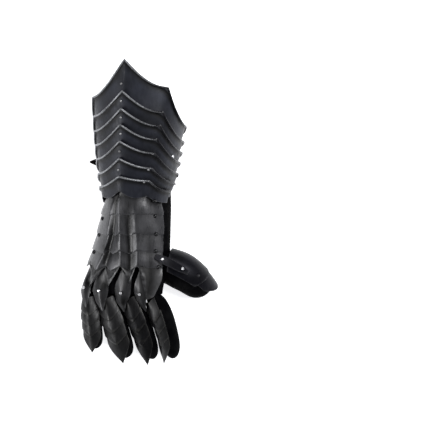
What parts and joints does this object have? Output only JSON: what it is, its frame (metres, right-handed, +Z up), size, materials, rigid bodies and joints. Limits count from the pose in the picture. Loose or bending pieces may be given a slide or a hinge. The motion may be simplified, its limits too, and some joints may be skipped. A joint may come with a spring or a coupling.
{
  "type": "armoured gauntlet",
  "caption": "Right-hand armoured gauntlet: a leather glove under a pointed cuff of overlapping chevron plates, fluted back lames, diamond knuckle plates and clawed finger scales",
  "frame": {"origin": "under the middle of the whole part's box, on the surface that it lies on", "axes": "+Z up through the back of the hand, +Y from the fingers to the elbow, +X from the little finger to the thumb"},
  "size_m": [0.1984, 0.4226, 0.1383],
  "materials": {
    "blackened_plate": "satin blackened steel with lighter worn rims",
    "glove_leather": "matt black glove leather",
    "strap_leather": "smooth black strap leather",
    "bright_steel": "polished rivet heads and buckle"
  },
  "bodies": {
    "root": {"cuff_plate_1": "blackened_plate", "cuff_plate_2": "blackened_plate", "cuff_plate_3": "blackened_plate", "cuff_plate_4": "blackened_plate", "cuff_plate_5": "blackened_plate", "cuff_plate_6": "blackened_plate", "wrist_band": "blackened_plate", "back_lame_1": "blackened_plate", "back_lame_2": "blackened_plate", "back_lame_3": "blackened_plate", "back_lame_4": "blackened_plate", "back_lame_5": "blackened_plate", "knuckle_plate_little": "blackened_plate", "knuckle_plate_ring": "blackened_plate", "knuckle_plate_middle": "blackened_plate", "knuckle_plate_index": "blackened_plate", "finger_scale_little_1": "blackened_plate", "finger_scale_little_2": "blackened_plate", "finger_scale_little_3": "blackened_plate", "finger_scale_little_4": "blackened_plate", "finger_scale_ring_1": "blackened_plate", "finger_scale_ring_2": "blackened_plate", "finger_scale_ring_3": "blackened_plate", "finger_scale_ring_4": "blackened_plate", "finger_scale_middle_1": "blackened_plate", "finger_scale_middle_2": "blackened_plate", "finger_scale_middle_3": "blackened_plate", "finger_scale_middle_4": "blackened_plate", "finger_scale_index_1": "blackened_plate", "finger_scale_index_2": "blackened_plate", "finger_scale_index_3": "blackened_plate", "finger_scale_index_4": "blackened_plate", "thumb_plate": "blackened_plate", "thumb_tip_plate": "blackened_plate", "thumb_strap": "blackened_plate", "glove_palm": "glove_leather", "glove_little": "glove_leather", "glove_ring": "glove_leather", "glove_middle": "glove_leather", "glove_index": "glove_leather", "glove_thumb": "glove_leather", "cuff_strap": "strap_leather", "rivet_knuckle_little": "bright_steel", "rivet_knuckle_ring": "bright_steel", "rivet_knuckle_middle": "bright_steel", "rivet_knuckle_index": "bright_steel", "rivet_thumb_1": "bright_steel", "rivet_thumb_2": "bright_steel", "rivet_cuff": "bright_steel", "strap_buckle": "bright_steel"}
  },
  "joints": []
}
